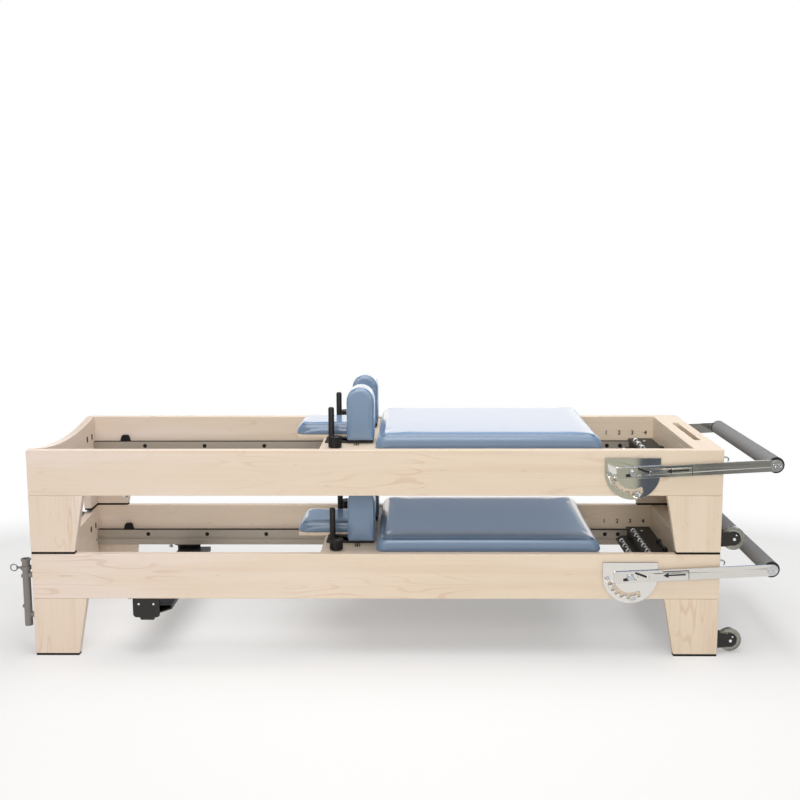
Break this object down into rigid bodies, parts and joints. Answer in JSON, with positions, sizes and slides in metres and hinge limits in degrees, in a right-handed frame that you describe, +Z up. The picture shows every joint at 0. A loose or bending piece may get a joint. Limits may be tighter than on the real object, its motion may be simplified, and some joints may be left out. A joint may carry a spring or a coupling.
{
  "type": "stacked pilates reformer pair",
  "caption": "Two wooden pilates reformers stacked one on the other, with rolling carriages, tilting headrests, spring bars and footbars that swing up, and tower sockets at the head end",
  "frame": {"origin": "middle of the stack's box in plan, on the floor under the lower foot pads", "axes": "+X from the head end to the foot end, +Y from the near side to the far side, +Z up"},
  "size_m": [2.6292, 0.72, 0.916],
  "materials": {
    "beech": "satin clear lacquer on pale maple or beech",
    "vinyl": "blue-grey upholstery vinyl with a fine grain",
    "aluminium": "satin anodised",
    "polished_steel": "mirror polished steel",
    "bright_steel": "bright zinc-plated or machined steel",
    "grey_steel": "grey painted steel",
    "black_steel": "black powder coat",
    "black_plastic": "black moulded plastic",
    "rubber": "matt black rubber",
    "grey_wheel": "grey polyurethane",
    "roller": "dark polyurethane",
    "grey_foam": "closed-cell foam grip"
  },
  "bodies": {
    "lower_frame": {"lower_side_rails": "beech", "lower_head_board": "beech", "lower_foot_platform": "beech", "lower_legs": "beech", "lower_foot_pads": "rubber", "lower_tracks": "aluminium", "lower_track_stops": "rubber", "lower_quadrant_plates": "polished_steel", "lower_frame_bolts": "bright_steel", "lower_wheel_brackets": "black_steel", "tower_sockets": "grey_steel", "cross_member": "black_steel"},
    "lower_carriage": {"lower_carriage_frame": "black_steel", "lower_carriage_board": "beech", "lower_carriage_pad": "vinyl", "lower_springs": "bright_steel", "lower_shoulder_pads": "vinyl", "lower_rest_brackets": "black_steel"},
    "lower_head_roller_pair": {"lower_head_rollers": "roller"},
    "lower_foot_roller_pair": {"lower_foot_rollers": "roller"},
    "lower_headrest": {"lower_headrest_board": "beech", "lower_headrest_pad": "vinyl"},
    "lower_near_knob": {"lower_near_rope_knob": "black_plastic"},
    "lower_far_knob": {"lower_far_rope_knob": "black_plastic"},
    "lower_bar": {"lower_spring_bar": "black_steel"},
    "lower_hubs": {"lower_footbar_hubs": "bright_steel"},
    "lower_footbar": {"lower_footbar_frame": "polished_steel", "lower_footbar_grip": "grey_foam"},
    "lower_wheel_near": {"lower_near_wheel": "grey_wheel"},
    "lower_wheel_far": {"lower_far_wheel": "grey_wheel"},
    "tower_pin_near": {"near_tower_pin": "bright_steel"},
    "tower_pin_far": {"far_tower_pin": "bright_steel"},
    "upper_frame": {"upper_side_rails": "beech", "upper_head_board": "beech", "upper_foot_platform": "beech", "upper_legs": "beech", "upper_foot_pads": "rubber", "upper_tracks": "aluminium", "upper_track_stops": "rubber", "upper_quadrant_plates": "polished_steel", "upper_frame_bolts": "bright_steel", "upper_wheel_brackets": "black_steel"},
    "upper_carriage": {"upper_carriage_frame": "black_steel", "upper_carriage_board": "beech", "upper_carriage_pad": "vinyl", "upper_springs": "bright_steel", "upper_shoulder_pads": "vinyl", "upper_rest_brackets": "black_steel"},
    "upper_head_roller_pair": {"upper_head_rollers": "roller"},
    "upper_foot_roller_pair": {"upper_foot_rollers": "roller"},
    "upper_headrest": {"upper_headrest_board": "beech", "upper_headrest_pad": "vinyl"},
    "upper_near_knob": {"upper_near_rope_knob": "black_plastic"},
    "upper_far_knob": {"upper_far_rope_knob": "black_plastic"},
    "upper_bar": {"upper_spring_bar": "black_steel"},
    "upper_hubs": {"upper_footbar_hubs": "bright_steel"},
    "upper_footbar": {"upper_footbar_frame": "polished_steel", "upper_footbar_grip": "grey_foam"},
    "upper_wheel_near": {"upper_near_wheel": "grey_wheel"},
    "upper_wheel_far": {"upper_far_wheel": "grey_wheel"}
  },
  "joints": [
    {"name": "lower_carriage_slide", "type": "slide", "parent": "lower_frame", "child": "lower_carriage", "axis": [-1, 0, 0], "range_m": [0, 0.848]},
    {"name": "lower_head_roller_turn", "type": "hinge", "parent": "lower_carriage", "child": "lower_head_roller_pair", "pos_m": [-0.17972, 0, 0.2883], "axis": [0, 1, 0], "continuous": true},
    {"name": "lower_foot_roller_turn", "type": "hinge", "parent": "lower_carriage", "child": "lower_foot_roller_pair", "pos_m": [0.64528, 0, 0.2883], "axis": [0, 1, 0], "continuous": true},
    {"name": "lower_headrest_tilt", "type": "hinge", "parent": "lower_carriage", "child": "lower_headrest", "pos_m": [-0.07472, 0, 0.36], "axis": [0, 1, 0], "range_deg": [0, 30]},
    {"name": "lower_near_knob_turn", "type": "hinge", "parent": "lower_carriage", "child": "lower_near_knob", "pos_m": [-0.18972, -0.268, 0.357], "axis": [0, 0, 1], "continuous": true},
    {"name": "lower_far_knob_turn", "type": "hinge", "parent": "lower_carriage", "child": "lower_far_knob", "pos_m": [-0.18972, 0.268, 0.357], "axis": [0, 0, 1], "continuous": true},
    {"name": "lower_spring_bar_slide", "type": "slide", "parent": "lower_frame", "child": "lower_bar", "axis": [-1, 0, 0], "range_m": [0, 0.1551]},
    {"name": "lower_footbar_swing", "type": "hinge", "parent": "lower_frame", "child": "lower_hubs", "pos_m": [0.81128, 0, 0.284], "axis": [0, -1, 0], "range_deg": [0, 32.5]},
    {"name": "lower_footbar_lock", "type": "slide", "parent": "lower_hubs", "child": "lower_footbar", "axis": [-0.9986, 0, -0.0523], "range_m": [0, 0.012]},
    {"name": "lower_near_wheel_turn", "type": "hinge", "parent": "lower_frame", "child": "lower_wheel_near", "pos_m": [1.16728, -0.295, 0.045], "axis": [0, 1, 0], "continuous": true},
    {"name": "lower_far_wheel_turn", "type": "hinge", "parent": "lower_frame", "child": "lower_wheel_far", "pos_m": [1.16728, 0.295, 0.045], "axis": [0, 1, 0], "continuous": true},
    {"name": "upper_carriage_slide", "type": "slide", "parent": "upper_frame", "child": "upper_carriage", "axis": [-1, 0, 0], "range_m": [0, 0.848]},
    {"name": "upper_head_roller_turn", "type": "hinge", "parent": "upper_carriage", "child": "upper_head_roller_pair", "pos_m": [-0.17972, 0, 0.6483], "axis": [0, 1, 0], "continuous": true},
    {"name": "upper_foot_roller_turn", "type": "hinge", "parent": "upper_carriage", "child": "upper_foot_roller_pair", "pos_m": [0.64528, 0, 0.6483], "axis": [0, 1, 0], "continuous": true},
    {"name": "upper_headrest_tilt", "type": "hinge", "parent": "upper_carriage", "child": "upper_headrest", "pos_m": [-0.07472, 0, 0.72], "axis": [0, 1, 0], "range_deg": [0, 30]},
    {"name": "upper_near_knob_turn", "type": "hinge", "parent": "upper_carriage", "child": "upper_near_knob", "pos_m": [-0.18972, -0.268, 0.717], "axis": [0, 0, 1], "continuous": true},
    {"name": "upper_far_knob_turn", "type": "hinge", "parent": "upper_carriage", "child": "upper_far_knob", "pos_m": [-0.18972, 0.268, 0.717], "axis": [0, 0, 1], "continuous": true},
    {"name": "upper_spring_bar_slide", "type": "slide", "parent": "upper_frame", "child": "upper_bar", "axis": [-1, 0, 0], "range_m": [0, 0.1551]},
    {"name": "upper_footbar_swing", "type": "hinge", "parent": "upper_frame", "child": "upper_hubs", "pos_m": [0.81128, 0, 0.644], "axis": [0, -1, 0], "range_deg": [0, 96]},
    {"name": "upper_footbar_lock", "type": "slide", "parent": "upper_hubs", "child": "upper_footbar", "axis": [-0.9986, 0, -0.0523], "range_m": [0, 0.012]},
    {"name": "upper_near_wheel_turn", "type": "hinge", "parent": "upper_frame", "child": "upper_wheel_near", "pos_m": [1.16728, -0.295, 0.405], "axis": [0, 1, 0], "continuous": true},
    {"name": "upper_far_wheel_turn", "type": "hinge", "parent": "upper_frame", "child": "upper_wheel_far", "pos_m": [1.16728, 0.295, 0.405], "axis": [0, 1, 0], "continuous": true},
    {"name": "upper_lift", "type": "slide", "parent": "lower_frame", "child": "upper_frame", "axis": [0, 0, 1], "range_m": [0, 0.4]},
    {"name": "near_tower_pin_slide", "type": "slide", "parent": "lower_frame", "child": "tower_pin_near", "axis": [1, 0, 0], "range_m": [0, 0.009]},
    {"name": "far_tower_pin_slide", "type": "slide", "parent": "lower_frame", "child": "tower_pin_far", "axis": [1, 0, 0], "range_m": [0, 0.009]}
  ],
  "couplings": [
    {"joint": "lower_head_roller_turn", "follows": "lower_carriage_slide", "rad_per_m": -40},
    {"joint": "lower_foot_roller_turn", "follows": "lower_carriage_slide", "rad_per_m": -40},
    {"joint": "upper_head_roller_turn", "follows": "upper_carriage_slide", "rad_per_m": -40},
    {"joint": "upper_foot_roller_turn", "follows": "upper_carriage_slide", "rad_per_m": -40}
  ]
}
